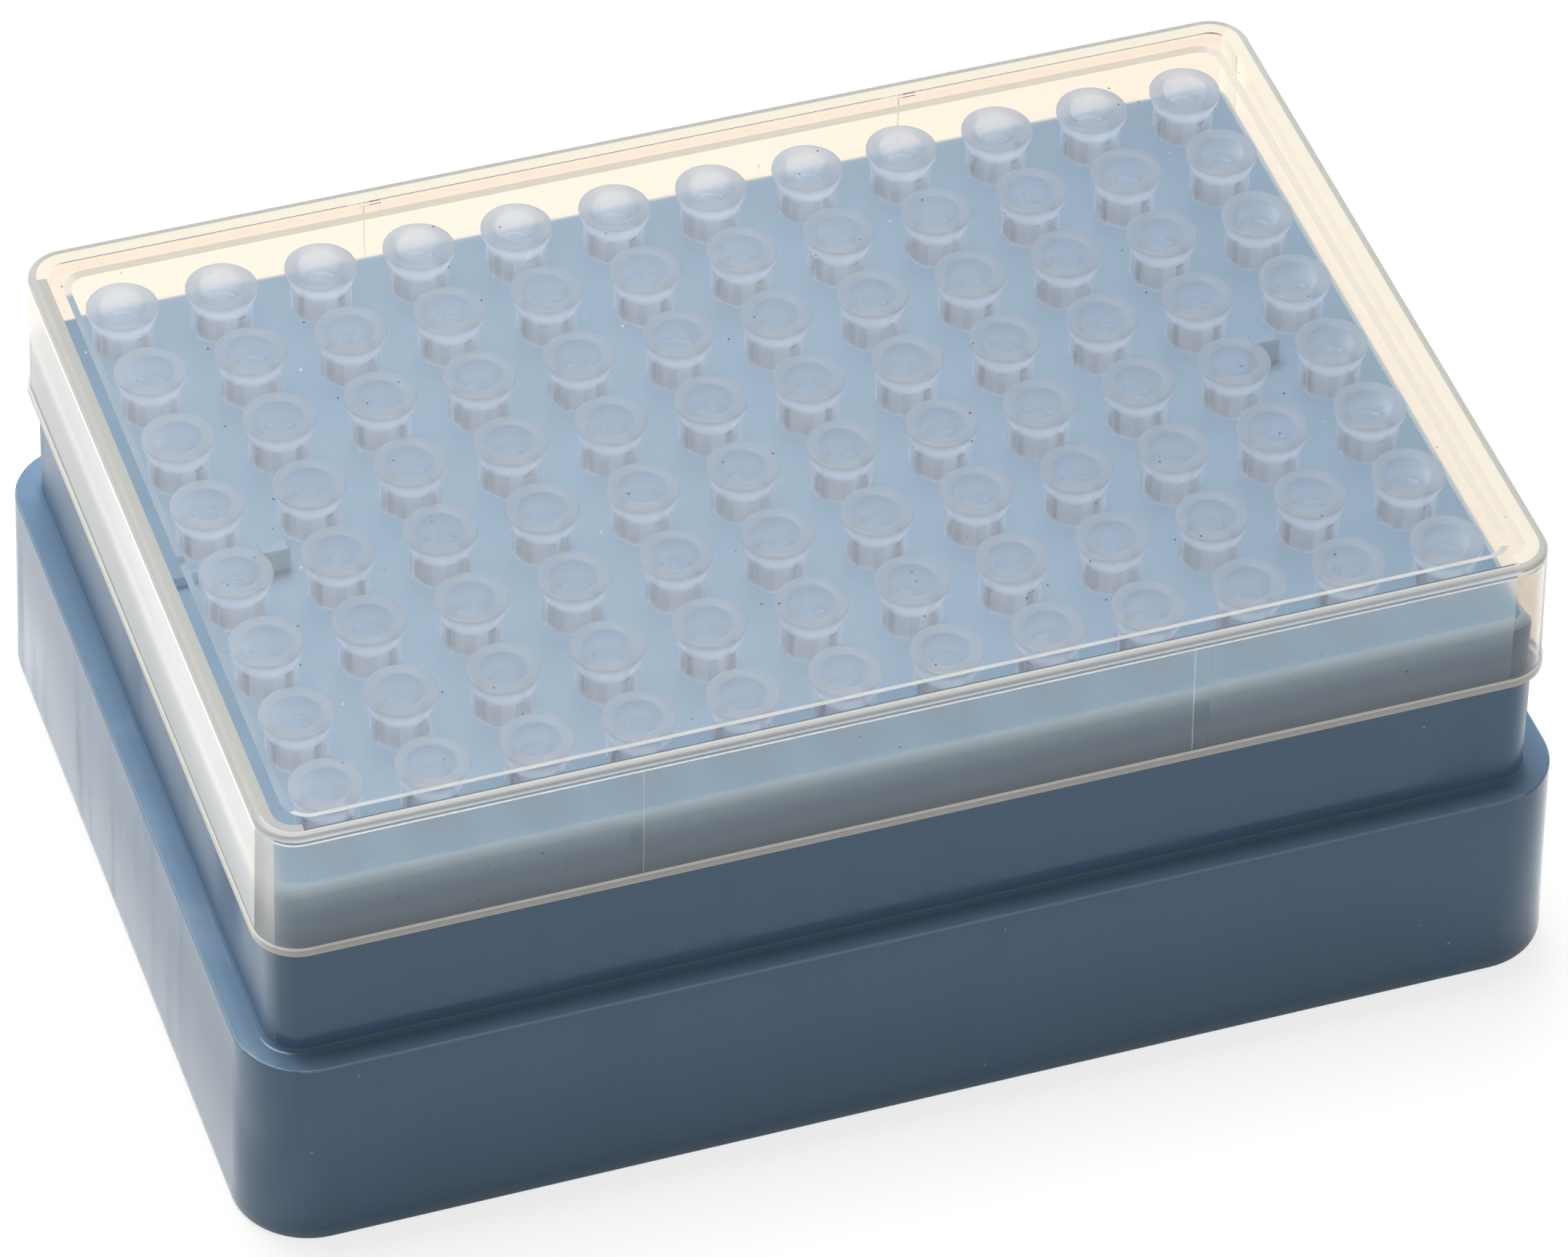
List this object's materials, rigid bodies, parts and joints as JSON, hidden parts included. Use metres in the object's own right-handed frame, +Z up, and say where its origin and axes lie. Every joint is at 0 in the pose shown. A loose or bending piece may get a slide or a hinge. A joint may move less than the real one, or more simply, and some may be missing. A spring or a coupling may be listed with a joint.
{
  "type": "pipette tip box",
  "caption": "Stepped plastic box with a snapped-in plate of seats holding a grid of small flared pipette tips under a clear lift-off lid.",
  "frame": {"origin": "centre of the box's bounding rectangle, at the underside of its foot", "axes": "+Z up, X along the long side with the columns of tips counted from -X, Y along the short side with the rows counted from +Y"},
  "size_m": [0.1192, 0.083, 0.0448],
  "materials": {
    "base_plastic": "glossy slate blue moulded polypropylene",
    "plate_plastic": "satin slate blue moulded polypropylene, the same blue as the base",
    "clear_plastic": "clear glossy natural polypropylene, faintly warm",
    "tip_plastic": "milky translucent natural polypropylene"
  },
  "bodies": {
    "box": {"base": "base_plastic", "tip_plate": "plate_plastic", "tip_column_01": "tip_plastic", "tip_column_02": "tip_plastic", "tip_column_03": "tip_plastic", "tip_column_04": "tip_plastic", "tip_column_05": "tip_plastic", "tip_column_06": "tip_plastic", "tip_column_07": "tip_plastic", "tip_column_08": "tip_plastic", "tip_column_09": "tip_plastic", "tip_column_10": "tip_plastic", "tip_column_11": "tip_plastic", "tip_column_12": "tip_plastic"},
    "lid": {"lid": "clear_plastic"}
  },
  "joints": [
    {"name": "lid_lift", "type": "slide", "parent": "box", "child": "lid", "axis": [0, 0, 1], "range_m": [0, 0.03]}
  ]
}
